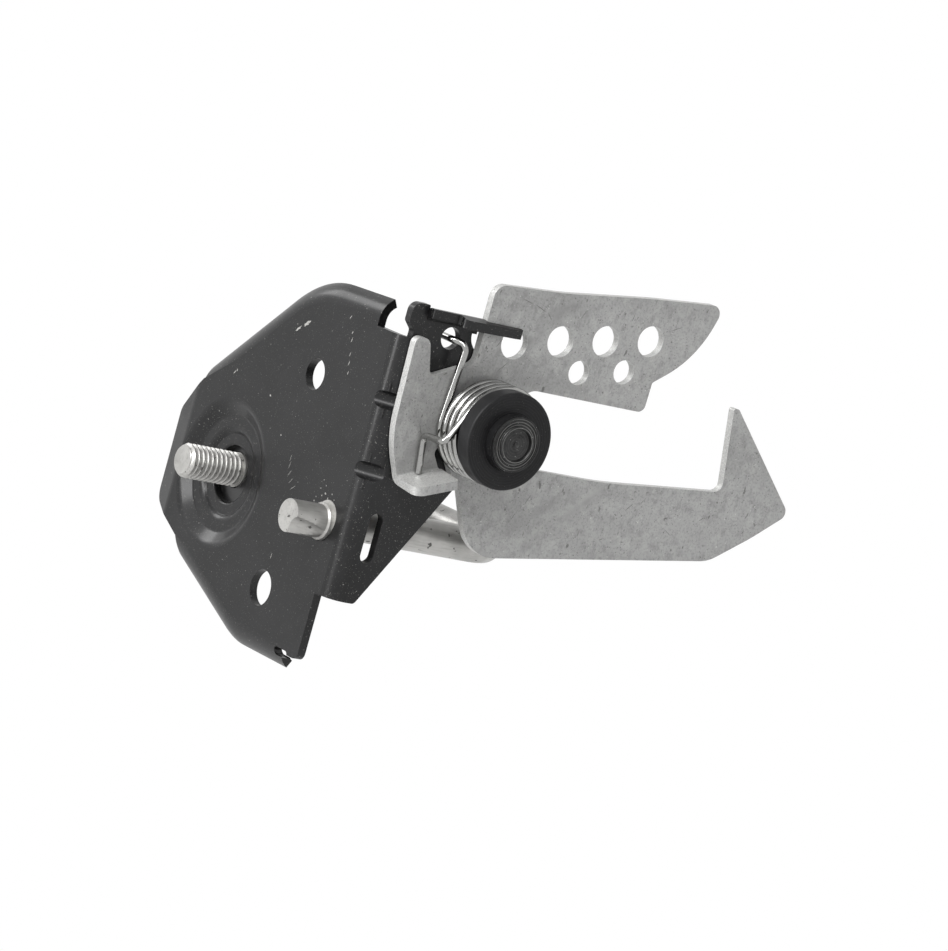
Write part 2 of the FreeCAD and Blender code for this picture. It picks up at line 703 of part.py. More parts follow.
def fold_lug():
    """Lug with its fold, from the plate's foot towards -Y."""
    tilt = math.radians(LUG_TILT)
    corner_up = SHEET * math.tan(tilt) - SHEET / math.cos(tilt)
    front = HOOK_FRONT_Y - LUG_DEPTH
    far_front = front - CUT
    corners = [
        (HOOK_BACK_Y, LUG_INNER_R, 0),
        (HOOK_BACK_Y, corner_up, LUG_INNER_R + SHEET),
        (far_front, corner_up - (HOOK_BACK_Y - far_front) * math.tan(tilt), 0),
        (far_front, (far_front - HOOK_FRONT_Y) * math.tan(tilt), 0),
        (HOOK_FRONT_Y, 0.0, LUG_FOLD_R),
        (HOOK_FRONT_Y, LUG_INNER_R, 0),
    ]
    angle = math.radians(LUG_ANGLE)
    along = FreeCAD.Vector(math.cos(angle), 0, math.sin(angle))
    normal = FreeCAD.Vector(-math.sin(angle), 0, math.cos(angle))
    lug = slab(corners, lambda y, up: lug_point(0, up, y), along * LUG_LENGTH)
    plan = [
        (0, HOOK_BACK_Y, 0),
        (0, front, LUG_CORNER_R),
        (LUG_LENGTH, front, LUG_END_R),
        (LUG_LENGTH, HOOK_BACK_Y, 0),
    ]
    keep = slab(plan, lambda s, y: lug_point(s, -3 * SHEET, y), normal * (6 * SHEET))
    return lug.common(keep)


def make_hook_plate():
    high = lug_point(LUG_LENGTH, LUG_INNER_R, 0)
    low = lug_point(0, LUG_INNER_R, 0)
    corners = HOOK_OUTLINE_TOP + HOOK_OUTLINE_MOUTH + HOOK_OUTLINE_FOOT
    corners = corners + [(high.x, high.z, 0), (low.x, low.z, 0), FINGER_SIDE]
    plate = slab_y(corners, HOOK_FRONT_Y, HOOK_BACK_Y).fuse(fold_lug())
    relief = slot(SLOT_TOP, SLOT_FOOT, SLOT_WIDTH)
    cuts = [slab_y(relief, HOOK_FRONT_Y - LUG_INNER_R, HOOK_BACK_Y + CUT)]
    start_y = HOOK_FRONT_Y - CUT
    depth = SHEET + 2 * CUT
    for x, z in HOLE_ROW:
        cuts.append(rod(on_flange(x, z, start_y), Y_AXIS, HOLE_R, depth))
    for x, z in SMALL_HOLE_ROW:
        cuts.append(rod(on_flange(x, z, start_y), Y_AXIS, SMALL_HOLE_R, depth))
    cuts.append(rod(on_flange(PIVOT_X, PIVOT_Z, start_y), Y_AXIS, SPIGOT_R + RUN, depth))
    return plate.cut(cuts).removeSplitter()


def turned(profile):
    """Solid of revolution about the pivot from corners (Y, radius, corner radius)."""
    face = Part.Face(rounded_wire(profile, lambda y, r: FreeCAD.Vector(PIVOT_X + r, y, PIVOT_Z)))
    return face.revolve(FreeCAD.Vector(PIVOT_X, 0, PIVOT_Z), Y_AXIS, 360)


def make_pivot_bush():
    bore = RIVET_R + RUN
    return turned([
        (FLANGE_Y, bore, 0),
        (FLANGE_Y, SPIGOT_R, 0),
        (BUSH_BACK_Y, SPIGOT_R, 0),
        (BUSH_BACK_Y, BUSH_BARREL_R, 0),
        (HEAD_BACK_Y, BUSH_BARREL_R, 0),
        (HEAD_BACK_Y, BUSH_HEAD_R, BUSH_EDGE_R),
        (BUSH_FRONT_Y, BUSH_HEAD_R, BUSH_EDGE_R),
        (BUSH_FRONT_Y, HUB_R, 0),
        (HUB_FRONT_Y, HUB_R, 0),
        (HUB_FRONT_Y, bore, 0),
    ])


def make_pivot_rivet():
    back_y = FLANGE_Y + SHEET
    tail_y = back_y + RIVET_TAIL_THICK
    floor_y = LIP_FRONT_Y + RIVET_BORE_DEPTH
    half = RING_WIDTH / 2
    profile = [
        (tail_y, 0, 0),
        (tail_y, RIVET_TAIL_R, 2 * TURNED_EDGE_R),
        (back_y, RIVET_TAIL_R, 0),
        (back_y, RIVET_R, 0),
        (HUB_FRONT_Y, RIVET_R, 0),
        (HUB_FRONT_Y, FLARE_R, 0),
        (FLARE_FRONT_Y, FLARE_R, 0),
    ]
    for radius in FLARE_RINGS:
        profile.append((FLARE_FRONT_Y, radius + half, 0))
        profile.append((FLARE_FRONT_Y + RING_DEPTH, radius + half, 0))
        profile.append((FLARE_FRONT_Y + RING_DEPTH, radius - half, 0))
        profile.append((FLARE_FRONT_Y, radius - half, 0))
    profile.append((FLARE_FRONT_Y, LIP_R, 0))
    profile.append((LIP_FRONT_Y, LIP_R, TURNED_EDGE_R))
    profile.append((LIP_FRONT_Y, RIVET_BORE_R, TURNED_EDGE_R))
    profile.append((floor_y, RIVET_BORE_R, 0))
    profile.append((floor_y, RIVET_CENTRE_R, 0))
    profile.append((floor_y + RIVET_CENTRE_DEPTH, 0, 0))
    return turned(profile)


def bent_run(points, radius):
    """Edges of straight runs joined by bends of one radius."""
    edges = []
    start = points[0]
    for i in range(1, len(points) - 1):
        here = points[i]
        before = (points[i - 1] - here).normalize()
        after = (points[i + 1] - here).normalize()
        half = before.getAngle(after) / 2
        back = radius / math.tan(half)
        middle = (before + after).normalize()
        centre = here + middle * (radius / math.sin(half))
        arc_start = here + before * back
        arc_end = here + after * back
        edges.append(Part.LineSegment(start, arc_start).toShape())
        edges.append(Part.Arc(arc_start, centre - middle * radius, arc_end).toShape())
        start = arc_end
    edges.append(Part.LineSegment(start, points[-1]).toShape())
    return edges


def coil_point(angle, along, y):
    """Point on the coil's circle at an angle in degrees, moved along its tangent, at a Y."""
    turn = math.radians(angle)
    x = COIL_X + COIL_R * math.cos(turn) - along * math.sin(turn)
    z = COIL_Z + COIL_R * math.sin(turn) + along * math.cos(turn)
    return FreeCAD.Vector(x, y, z)


def make_torsion_spring():
    helix = Part.makeHelix(COIL_PITCH, COIL_START_Y - COIL_END_Y, COIL_R)
    helix.rotate(FreeCAD.Vector(0, 0, 0), Z_AXIS, COIL_ENTER_ANGLE)
    helix.rotate(FreeCAD.Vector(0, 0, 0), X_AXIS, 90)
    helix.translate(FreeCAD.Vector(COIL_X, COIL_START_Y, COIL_Z))
    hook_end = FreeCAD.Vector(SPRING_HOLE_X, UPPER_LEG_END_Y, SPRING_HOLE_Z)
    hook_bend = FreeCAD.Vector(SPRING_HOLE_X, FLANGE_Y - UPPER_LEG_ENTRY, SPRING_HOLE_Z)
    enter = coil_point(COIL_ENTER_ANGLE, 0, COIL_START_Y)
    leg_length = (UPPER_LEG_TOP_Z - enter.z) / math.cos(math.radians(UPPER_LEG_LEAN))
    leg_top = coil_point(COIL_ENTER_ANGLE, -leg_length, COIL_START_Y)
    upper = bent_run([hook_end, hook_bend, leg_top, enter], UPPER_LEG_BEND_R)
    leave = coil_point(COIL_LEAVE_ANGLE, 0, COIL_END_Y)
    knee = FreeCAD.Vector(LOWER_LEG_KNEE[0], COIL_END_Y, LOWER_LEG_KNEE[1])
    elbow = FreeCAD.Vector(LOWER_LEG_ELBOW[0], COIL_START_Y, LOWER_LEG_ELBOW[1])
    foot = lug_point(LEG_FOOT_RUN, LEG_CONTACT_GAP, COIL_START_Y)
    lower = bent_run([leave, knee, elbow, foot], LEG_BEND_R)
    spine = Part.Wire(Part.__sortEdges__(upper + helix.Edges + lower))
    profile = Part.Wire([Part.makeCircle(WIRE_R, hook_end, hook_bend - hook_end)])
    return spine.makePipeShell([profile], True, True)


def export(shape, name):
    """Write one piece as a STEP file."""
    solids = shape.Solids
    if len(solids) == 1:
        shape = solids[0]
    shape.exportStep("parts/" + name + ".step")


def main():
    os.makedirs("parts", exist_ok=True)
    export(make_bracket(), "bracket")
    export(make_striker(), "striker")
    export(make_striker_washer(), "striker_washer")
    export(make_striker_nut(), "striker_nut")
    export(make_hook_plate(), "hook_plate")
    export(make_pivot_bush(), "pivot_bush")
    export(make_pivot_rivet(), "pivot_rivet")
    export(make_torsion_spring(), "torsion_spring")


main()
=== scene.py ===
"""Looks of a bonnet latch: finishes, a threaded striker, wear marks, light and camera."""
import logging
import math
from dataclasses import dataclass, field
from enum import Enum
from typing import Callable, Optional, Sequence

import bmesh
import bpy
from mathutils import Matrix, Vector


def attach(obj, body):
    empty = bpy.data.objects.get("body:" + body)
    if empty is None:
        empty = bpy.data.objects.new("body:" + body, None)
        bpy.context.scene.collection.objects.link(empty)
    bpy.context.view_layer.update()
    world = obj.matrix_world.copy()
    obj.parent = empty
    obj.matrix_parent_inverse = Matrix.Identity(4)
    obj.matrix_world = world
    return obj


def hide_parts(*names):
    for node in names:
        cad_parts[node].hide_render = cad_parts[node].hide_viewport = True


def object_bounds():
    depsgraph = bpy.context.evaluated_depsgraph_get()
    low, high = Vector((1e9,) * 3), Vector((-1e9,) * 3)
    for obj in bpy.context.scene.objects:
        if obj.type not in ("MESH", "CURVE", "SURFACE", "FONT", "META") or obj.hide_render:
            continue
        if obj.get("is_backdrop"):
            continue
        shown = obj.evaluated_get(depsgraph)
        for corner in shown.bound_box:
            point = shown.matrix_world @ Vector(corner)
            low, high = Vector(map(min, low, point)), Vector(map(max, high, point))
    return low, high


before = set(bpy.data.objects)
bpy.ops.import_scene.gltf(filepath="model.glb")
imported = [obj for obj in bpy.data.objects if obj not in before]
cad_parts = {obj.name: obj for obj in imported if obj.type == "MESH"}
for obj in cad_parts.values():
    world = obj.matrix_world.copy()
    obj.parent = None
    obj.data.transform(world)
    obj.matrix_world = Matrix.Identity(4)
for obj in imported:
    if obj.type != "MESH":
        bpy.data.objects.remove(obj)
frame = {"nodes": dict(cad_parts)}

LOG = logging.getLogger("bonnet_latch")
MM = 0.001
FULL_TURN = 2.0 * math.pi

# The sRGB curve: where its straight part ends and how steep that is, then its offset and power.
SRGB_STRAIGHT_END = 0.04045
SRGB_STRAIGHT_SLOPE = 12.92
SRGB_OFFSET = 0.055
SRGB_POWER = 2.4

# Layers of noise: how many octaves each has and how strong the finer ones are.
NOISE_DETAIL = 3.0
NOISE_ROUGHNESS = 0.55

# Painted reflection bands: size and detail of their patches, and the noise levels between which one
# fades in.
REFLECTION_PATCH_MM = 4.0
REFLECTION_PATCH_DETAIL = 4.0
REFLECTION_FADE = (0.40, 0.68)

# Sheared edges, partly painted light: how far a surface faces along Y where their paler colour
# starts and where it is full, then size, detail, noise levels and least cover of the grain that the
# shear leaves. The paler colour falls on every face turned away from Y, the lug's top too, as
# painted light.
EDGE_FACING = (0.85, 0.45)
EDGE_GRAIN_MM = 0.35
EDGE_GRAIN_DETAIL = 2.0
EDGE_GRAIN_FADE = (0.35, 0.6)
EDGE_LEAST_COVER = 0.35

# Turned rings: strength and depth of the grooves, height of the wave where a crest's painted
# highlight starts, cover of that highlight, width of the border round the middle where it stays
# faint, and its cover within it.
RING_STRENGTH = 0.35
RING_DEPTH_MM = 0.02
CREST_START = 0.45
CREST_COVER = 0.8
RING_BORDER_MM = 0.1
RING_FAINT_HIGHLIGHT = 0.12


def linear(hex_colour: str) -> tuple[float, float, float, float]:
    """Turn an sRGB hex colour into linear RGBA.

    Args:
        hex_colour: Six hex digits with a leading hash.

    Returns:
        Linear red, green, blue and an alpha of 1.
    """
    values = [int(hex_colour[i:i + 2], 16) / 255.0 for i in (1, 3, 5)]
    out = [v / SRGB_STRAIGHT_SLOPE if v <= SRGB_STRAIGHT_END
           else ((v + SRGB_OFFSET) / (1.0 + SRGB_OFFSET)) ** SRGB_POWER for v in values]
    return out[0], out[1], out[2], 1.0


def add_node(tree: bpy.types.NodeTree, kind: str, settings: Optional[dict] = None,
             links: Optional[dict] = None) -> bpy.types.Node:
    """Add one shader node with its settings, socket values and links.

    Args:
        tree: Node tree that receives the node.
        kind: Blender's type name of the node.
        settings: Attribute names, or input names and numbers, with their values.
        links: Input names or numbers with the output sockets that feed them.

    Returns:
        The new node.
    """
    node = tree.nodes.new(kind)
    for key, value in (settings or {}).items():
        if isinstance(key, str) and hasattr(node, key):
            setattr(node, key, value)
        else:
            node.inputs[key].default_value = value
    for key, socket in (links or {}).items():
        tree.links.new(socket, node.inputs[key])
    return node


def new_piece(name: str, bm: bmesh.types.BMesh) -> bpy.types.Object:
    """Turn a finished mesh into an object of the scene.

    Args:
        name: Name of the object and its mesh.
        bm: The mesh, which is freed.

    Returns:
        The new object.
    """
    mesh = bpy.data.meshes.new(name)
    bm.to_mesh(mesh)
    bm.free()
    piece = bpy.data.objects.new(name, mesh)
    bpy.context.scene.collection.objects.link(piece)
    return piece


class Cover(Enum):
    """How a speck, stain or scratch pattern is cut out of its noise."""

    SOFT = 0.30
    CRISP = 0.04


@dataclass(frozen=True)
class Pattern:
    """One layer of noise that tints a finish and changes its gloss.

    Args:
        size_mm: Real size of one grain, speck or cloud.
        level: Noise level above which the layer shows, from 0 to 1.
        cover: How sharply the layer ends.
        colour: Tint of the layer.
        strength: How much of the tint is mixed in.
        stretch: Scale along X, Y and Z, for drawn-out marks.
        gloss: Change of roughness where the layer shows.
        height_mm: Height of the layer's relief.
    """

    size_mm: float
    level: float
    cover: Cover
    colour: str
    strength: float
    stretch: tuple[float, float, float] = (1.0, 1.0, 1.0)
    gloss: float = 0.0
    height_mm: float = 0.0


@dataclass(frozen=True)
class ReflectionBand:
    """A soft band of painted reflection, darker or paler, laid straight across a sheet that stands
    in the XZ plane.

    Args:
        start: X and Z of one point of the band in mm.
        angle: Angle from X in degrees.
        width_mm: Width of the band.
        colour: Tint of the band.
    """

    start: tuple[float, float]
    angle: float
    width_mm: float
    colour: str


@dataclass(frozen=True)
class Finish:
    """A real surface: its colour, gloss and the layers that age it.

    Args:
        name: Name of the material.
        colour: Base colour.
        metallic: 1 for bare metal or plating, 0 for paint or plastic.
        roughness: Roughness of the clean surface.
        patterns: Layers over the base, from the coarse one to the fine one.
        coat: Weight of a clear or wet-looking coat.
        rings_mm: Pitch of turned rings about an axis along Y, 0 for none.
        ring_centre: X and Z of that axis in metres.
        ring_highlight: Colour of the painted highlight on the crests of the rings, or an empty
            string.
        ring_start_mm: Radius inside which that painted highlight stays faint.
        coat_roughness: Roughness of the coat.
        edge_grain_and_painted_light: Paler colour of sheared edges, partly painted light, on every
            face turned away from Y, or an empty string.
        ior: Refractive index of the surface; metals keep the usual 1.5.
        reflection_bands: Bands of painted reflection across the sheet.
    """

    name: str
    colour: str
    metallic: float
    roughness: float
    patterns: tuple[Pattern, ...] = ()
    coat: float = 0.0
    rings_mm: float = 0.0
    ring_centre: tuple[float, float] = (0.0, 0.0)
    ring_highlight: str = ""
    ring_start_mm: float = 0.0
    coat_roughness: float = 0.25
    edge_grain_and_painted_light: str = ""
    ior: float = 1.5
    reflection_bands: tuple[ReflectionBand, ...] = ()

    def build(self) -> bpy.types.Material:
        """Make the procedural material.

        Returns:
            The new material.
        """
        material = bpy.data.materials.new(self.name)
        material.use_nodes = True
        tree = material.node_tree
        tree.nodes.clear()
        place = add_node(tree, "ShaderNodeTexCoord")
        rough = add_node(tree, "ShaderNodeMath", {"operation": "ADD", 0: self.roughness, 1: 0.0})
        colour_socket = None
        normal_socket = None
        for pattern in self.patterns:
            mask = self._mask(tree, place.outputs["Object"], pattern)
            mix = add_node(tree, "ShaderNodeMix", {
                "data_type": "RGBA", 6: linear(self.colour), 7: linear(pattern.colour)})
            amount = add_node(tree, "ShaderNodeMath", {
                "operation": "MULTIPLY", 1: pattern.strength}, {0: mask})
            tree.links.new(amount.outputs[0], mix.inputs[0])
            if colour_socket is not None:
                tree.links.new(colour_socket, mix.inputs[6])
            colour_socket = mix.outputs[2]
            if pattern.gloss:
                rough = add_node(tree, "ShaderNodeMath", {
                    "operation": "MULTIPLY_ADD", 1: pattern.gloss}, {0: mask, 2: rough.outputs[0]})
            if pattern.height_mm:
                settings = {"Strength": 1.0, "Distance": pattern.height_mm * MM}
                bump = add_node(tree, "ShaderNodeBump", settings, {"Height": mask})
                if normal_socket is not None:
                    tree.links.new(normal_socket, bump.inputs["Normal"])
                normal_socket = bump.outputs[0]
        # Painted reflection: darker or paler bands laid across the sheet.
        for painted_band in self.reflection_bands:
            colour_socket = self._reflection_band(tree, place.outputs["Object"], colour_socket, painted_band)
        # Partly painted light: every face turned away from Y gets a paler, granular colour.
        if self.edge_grain_and_painted_light:
            colour_socket = self._edge_grain_and_painted_light(tree, place.outputs["Object"], colour_socket)
        if self.rings_mm:
            crest, normal_socket = self._rings(tree, place.outputs["Object"], normal_socket)
            # Painted highlight: the crests of the turned rings are tinted paler.
            if self.ring_highlight:
                mix = add_node(tree, "ShaderNodeMix", {
                    "data_type": "RGBA", 7: linear(self.ring_highlight)}, {0: crest, 6: colour_socket})
                colour_socket = mix.outputs[2]
        shader = add_node(tree, "ShaderNodeBsdfPrincipled", {
            "Base Color": linear(self.colour), "Metallic": self.metallic, "IOR": self.ior,
            "Coat Weight": self.coat, "Coat Roughness": self.coat_roughness},
            {"Roughness": rough.outputs[0]})
        if colour_socket is not None:
            tree.links.new(colour_socket, shader.inputs["Base Color"])
        if normal_socket is not None:
            tree.links.new(normal_socket, shader.inputs["Normal"])
        add_node(tree, "ShaderNodeOutputMaterial", {}, {"Surface": shader.outputs[0]})
        return material

    def _reflection_band(self, tree: bpy.types.NodeTree, place: bpy.types.NodeSocket,
               colour: bpy.types.NodeSocket, painted_band: ReflectionBand) -> bpy.types.NodeSocket:
        """Paint a band of reflection across the sheet, stronger in some places than in others.

        Args:
            tree: Node tree of the material.
            place: Socket with the object coordinates in metres.
            colour: Colour under the band.
            painted_band: The band.

        Returns:
            Socket with the colour of sheet and band.
        """
        turn = math.radians(painted_band.angle)
        across = (-math.sin(turn) / MM, 0.0, math.cos(turn) / MM)
        middle = (across[0] * painted_band.start[0] + across[2] * painted_band.start[1]) * MM
        away = add_node(tree, "ShaderNodeVectorMath", {
            "operation": "DOT_PRODUCT", 1: across}, {0: place})
        shifted = add_node(tree, "ShaderNodeMath", {
            "operation": "SUBTRACT", 1: middle}, {0: away.outputs["Value"]})
        distance = add_node(tree, "ShaderNodeMath", {
            "operation": "ABSOLUTE"}, {0: shifted.outputs[0]})
        band = add_node(tree, "ShaderNodeMapRange", {
            "From Min": 0.5 * painted_band.width_mm, "From Max": 0.0}, {"Value": distance.outputs[0]})
        patch = add_node(tree, "ShaderNodeTexNoise", {
            "Scale": 1.0 / (REFLECTION_PATCH_MM * MM), "Detail": REFLECTION_PATCH_DETAIL}, {"Vector": place})
        cover = add_node(tree, "ShaderNodeMapRange", {
            "From Min": REFLECTION_FADE[0], "From Max": REFLECTION_FADE[1]}, {"Value": patch.outputs[0]})
        amount = add_node(tree, "ShaderNodeMath", {"operation": "MULTIPLY"}, {
            0: band.outputs[0], 1: cover.outputs[0]})
        mix = add_node(tree, "ShaderNodeMix", {
            "data_type": "RGBA", 7: linear(painted_band.colour)}, {0: amount.outputs[0], 6: colour})
        return mix.outputs[2]

    def _edge_grain_and_painted_light(self, tree: bpy.types.NodeTree, place: bpy.types.NodeSocket,
               colour: bpy.types.NodeSocket) -> bpy.types.NodeSocket:
        """Paler, granular colour on faces turned away from Y: the grain of sheared edges and
        painted light.

        Args:
            tree: Node tree of the material.
            place: Socket with the object coordinates in metres.
            colour: Colour of the sheet's flat sides.

        Returns:
            Socket with the colour of the whole piece.
        """
        surface = add_node(tree, "ShaderNodeNewGeometry")
        parts = add_node(tree, "ShaderNodeSeparateXYZ", {}, {0: surface.outputs["Normal"]})
        facing = add_node(tree, "ShaderNodeMath", {
            "operation": "ABSOLUTE"}, {0: parts.outputs["Y"]})
        edge = add_node(tree, "ShaderNodeMapRange", {
            "From Min": EDGE_FACING[0], "From Max": EDGE_FACING[1]}, {"Value": facing.outputs[0]})
        grain = add_node(tree, "ShaderNodeTexNoise", {
            "Scale": 1.0 / (EDGE_GRAIN_MM * MM), "Detail": EDGE_GRAIN_DETAIL}, {"Vector": place})
        level = add_node(tree, "ShaderNodeMapRange", {
            "From Min": EDGE_GRAIN_FADE[0], "From Max": EDGE_GRAIN_FADE[1],
            "To Min": EDGE_LEAST_COVER}, {"Value": grain.outputs[0]})
        amount = add_node(tree, "ShaderNodeMath", {"operation": "MULTIPLY"}, {
            0: edge.outputs[0], 1: level.outputs[0]})
        mix = add_node(tree, "ShaderNodeMix", {
            "data_type": "RGBA", 7: linear(self.edge_grain_and_painted_light)}, {0: amount.outputs[0], 6: colour})
        return mix.outputs[2]

    def _mask(self, tree: bpy.types.NodeTree, place: bpy.types.NodeSocket,
              pattern: Pattern) -> bpy.types.NodeSocket:
        """Noise cut at the pattern's level, from 0 to 1.

        Args:
            tree: Node tree of the material.
            place: Socket with the object coordinates in metres.
            pattern: The layer.

        Returns:
            Socket with the mask.
        """
        scale = 1.0 / (pattern.size_mm * MM)
        mapped = add_node(tree, "ShaderNodeMapping", {
            "Scale": tuple(scale * s for s in pattern.stretch)}, {"Vector": place})
        noise = add_node(tree, "ShaderNodeTexNoise", {
            "Scale": 1.0, "Detail": NOISE_DETAIL, "Roughness": NOISE_ROUGHNESS},
            {"Vector": mapped.outputs[0]})
        ramp = add_node(tree, "ShaderNodeMapRange", {
            "From Min": pattern.level, "From Max": pattern.level + pattern.cover.value},
            {"Value": noise.outputs[0]})
        return ramp.outputs[0]

    def _rings(
            self, tree: bpy.types.NodeTree, place: bpy.types.NodeSocket,
            normal: Optional[bpy.types.NodeSocket],
    ) -> tuple[bpy.types.NodeSocket, bpy.types.NodeSocket]:
        """Fine turned grooves round an axis along Y, with a mask for the painted highlight on their
        crests.

        Args:
            tree: Node tree of the material.
            place: Socket with the object coordinates in metres.
            normal: Normal from the layers below, if any.

        Returns:
            Sockets with the cover of the painted highlight on the crests, from 0 to 1, and with the
            new normal.
        """
        moved = add_node(tree, "ShaderNodeMapping", {
            "Location": (-self.ring_centre[0], 0.0, -self.ring_centre[1])}, {"Vector": place})
        flat = add_node(tree, "ShaderNodeVectorMath", {
            "operation": "MULTIPLY", 1: (1.0, 0.0, 1.0)}, {0: moved.outputs[0]})
        radius = add_node(tree, "ShaderNodeVectorMath", {
            "operation": "LENGTH"}, {0: flat.outputs[0]})
        turns = add_node(tree, "ShaderNodeMath", {
            "operation": "MULTIPLY", 1: FULL_TURN / (self.rings_mm * MM)},
            {0: radius.outputs["Value"]})
        wave = add_node(tree, "ShaderNodeMath", {"operation": "SINE"}, {0: turns.outputs[0]})
        bump = add_node(tree, "ShaderNodeBump", {
            "Strength": RING_STRENGTH, "Distance": RING_DEPTH_MM * MM}, {"Height": wave.outputs[0]})
        if normal is not None:
            tree.links.new(normal, bump.inputs["Normal"])
        crest = add_node(tree, "ShaderNodeMapRange", {
            "From Min": CREST_START, "From Max": 1.0, "To Max": CREST_COVER},
            {"Value": wave.outputs[0]})
        start = self.ring_start_mm * MM
        outside = add_node(tree, "ShaderNodeMapRange", {
            "From Min": start, "From Max": start + RING_BORDER_MM * MM,
            "To Min": RING_FAINT_HIGHLIGHT}, {"Value": radius.outputs["Value"]})
        cover = add_node(tree, "ShaderNodeMath", {"operation": "MULTIPLY"}, {
            0: crest.outputs[0], 1: outside.outputs[0]})
        return cover.outputs[0], bump.outputs[0]


# X and Z of the hook's pivot, which is the axis of bush and rivet, in metres.
PIVOT = (23.2 * MM, 27.9 * MM)

# Cathodic electro-coat on pressed steel: satin black that mirrors soft lights along its bends, with
# faint clouds and a dusting of pale specks.
ELECTRO_COAT = Finish(
    "black_electro_coat", "#0e0e0f", 0.0, 0.34, (
        Pattern(22.0, 0.42, Cover.SOFT, "#161617", 0.8, gloss=0.04),
        Pattern(2.4, 0.56, Cover.SOFT, "#1d1d1e", 0.5, gloss=0.05, height_mm=0.003),
        Pattern(6.0, 0.55, Cover.SOFT, "#1f1f20", 0.6, gloss=0.08),
        Pattern(14.0, 0.50, Cover.SOFT, "#1a1a1b", 0.9, gloss=0.12),
        Pattern(0.55, 0.69, Cover.CRISP, "#8c8b88", 0.7, gloss=0.3),
        Pattern(0.30, 0.65, Cover.CRISP, "#6a6965", 0.7, gloss=0.25),
    ), coat=0.2, coat_roughness=0.14, ior=1.34)

# Zinc plate on rolled sheet: matt grey with cloudy stains, fine specks, bands of painted
# reflection, and paler, granular sheared edges whose paler colour, on every face turned away from
# Y, is partly painted light.
ZINC_SHEET = Finish(
    "matt_zinc_sheet", "#a6a6a5", 0.5, 0.46, (
        Pattern(16.0, 0.44, Cover.SOFT, "#929291", 0.9, (0.45, 1.0, 1.3), 0.05),
        Pattern(3.6, 0.50, Cover.SOFT, "#b6b6b4", 0.8, gloss=0.04),
        Pattern(1.5, 0.50, Cover.SOFT, "#858584", 0.8, (1.0, 1.0, 0.7), 0.05, 0.008),
        Pattern(0.55, 0.48, Cover.SOFT, "#7e7e7d", 0.65, gloss=0.05, height_mm=0.005),
        Pattern(1.3, 0.685, Cover.CRISP, "#565553", 0.65, (1.0, 1.0, 0.55), 0.1, 0.01),
        Pattern(0.42, 0.655, Cover.CRISP, "#4f4f4d", 0.7, gloss=0.1),
        Pattern(0.50, 0.69, Cover.CRISP, "#d6d6d4", 0.7, gloss=-0.05),
    ), edge_grain_and_painted_light="#c6c6c4", reflection_bands=(
        # Painted reflection: bands of darker and paler tint laid across the sheet.
        ReflectionBand((36.6, 2.4), 41.0, 5.0, "#929291"), ReflectionBand((39.4, 0.8), 39.5, 3.4, "#afafad"),
        ReflectionBand((41.6, -0.4), 43.0, 4.0, "#959594"), ReflectionBand((25.0, 40.0), 52.0, 5.5, "#8f8f8e")))

# Zinc plate on drawn bar: smoother and a little warmer, with long draw lines and dark nicks.
ZINC_BAR = Finish(
    "zinc_drawn_bar", "#b3b2af", 0.65, 0.33, (
        Pattern(9.0, 0.42, Cover.SOFT, "#8e8d8a", 0.8, gloss=0.08),
        Pattern(2.2, 0.50, Cover.SOFT, "#bdbcb9", 0.7, (0.5, 1.0, 1.0), 0.05),
        Pattern(0.5, 0.50, Cover.SOFT, "#83827f", 0.6, (0.12, 1.0, 1.0), 0.05, 0.005),
        Pattern(1.5, 0.655, Cover.CRISP, "#32312f", 0.85, (0.6, 1.0, 0.8), 0.15, 0.02),
    ))

# Hard-drawn spring wire, zinc plated: bright, with sharp lights along the turns.
SPRING_WIRE = Finish(
    "bright_zinc_wire", "#a2a2a0", 1.0, 0.12, (
        Pattern(2.5, 0.45, Cover.SOFT, "#9a9a99", 0.7, gloss=0.06),
        Pattern(0.5, 0.62, Cover.CRISP, "#777776", 0.5, gloss=0.1),
    ))

# Turned dark bush: matt charcoal with fine rings, their crests tinted a little paler as a painted
# highlight, and a dusting of pale specks.
TURNED_BUSH = Finish(
    "turned_dark_bush", "#151516", 0.0, 0.42, (
        Pattern(5.0, 0.45, Cover.SOFT, "#1e1e1f", 0.7, gloss=0.05),
        Pattern(0.35, 0.66, Cover.CRISP, "#5d5d5a", 0.6, gloss=0.2),
    ), rings_mm=0.6, ring_centre=PIVOT, ring_highlight="#222223", ior=1.3)

# Flared steel rivet: dark plated steel with turned rings whose crests carry a painted highlight,
# pale on the flare.
RIVET_STEEL = Finish(
    "flared_rivet_steel", "#363636", 0.7, 0.34, (
        Pattern(1.6, 0.46, Cover.SOFT, "#1d1d1d", 0.9, gloss=0.1),
        Pattern(0.5, 0.68, Cover.CRISP, "#c4c4c2", 0.7, gloss=0.1),
    ), rings_mm=0.62, ring_centre=PIVOT, ring_highlight="#7a7a78", ring_start_mm=3.5)

# Black-coated washer steel, seen in the dish round the stud.
BLACK_STEEL = Finish(
    "black_washer_steel", "#101011", 0.0, 0.35, (
        Pattern(3.0, 0.5, Cover.SOFT, "#1b1b1c", 0.7, gloss=0.08),
        Pattern(0.4, 0.70, Cover.CRISP, "#5e5d5a", 0.5, gloss=0.2),
    ), coat=0.3)

# Chips through the coat: bare bright steel and rubbed grey primer.
BARE_CHIP = Finish("bare_steel_chip", "#a3a29f", 0.4, 0.5, (
    Pattern(0.5, 0.5, Cover.SOFT, "#6d6c69", 0.8),))

# Rubbed lines on zinc plate: grey oxide left where the plate was scraped.
DARK_SCRATCH = Finish("grey_zinc_scratch", "#5f5f5d", 0.3, 0.6, (
    Pattern(0.5, 0.5, Cover.SOFT, "#7a7a78", 0.7),))

